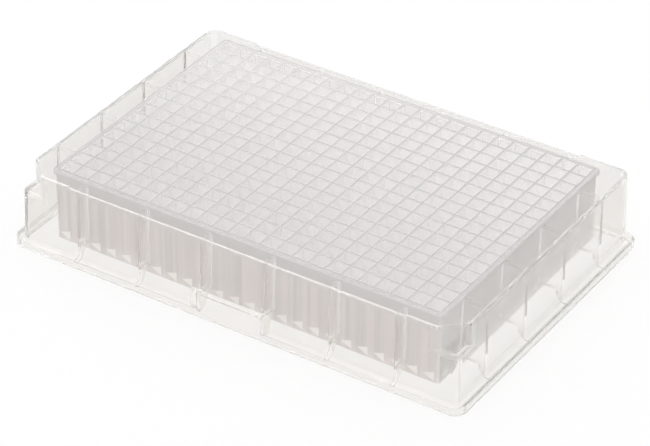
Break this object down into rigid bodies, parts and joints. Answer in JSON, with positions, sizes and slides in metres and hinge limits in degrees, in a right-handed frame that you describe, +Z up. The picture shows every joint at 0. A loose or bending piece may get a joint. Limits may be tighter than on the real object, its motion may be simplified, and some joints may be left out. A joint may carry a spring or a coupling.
{
  "type": "well plate",
  "caption": "Rectangular microplate moulded in one piece: a grid of deep square wells stands in a thin ribbed skirt with a stepped foot flange and two keyed corners.",
  "frame": {"origin": "centre of the footprint, on the plane of the base rim", "axes": "+X along the long sides, +Y along the short sides towards the two rounded rear corners, +Z up out of the wells"},
  "size_m": [0.1278, 0.0854, 0.022],
  "materials": {
    "polypropylene": "natural polypropylene, translucent, smooth with a soft gloss, milky where the wells stand behind one another"
  },
  "bodies": {
    "root": {"well_plate": "polypropylene"}
  },
  "joints": []
}
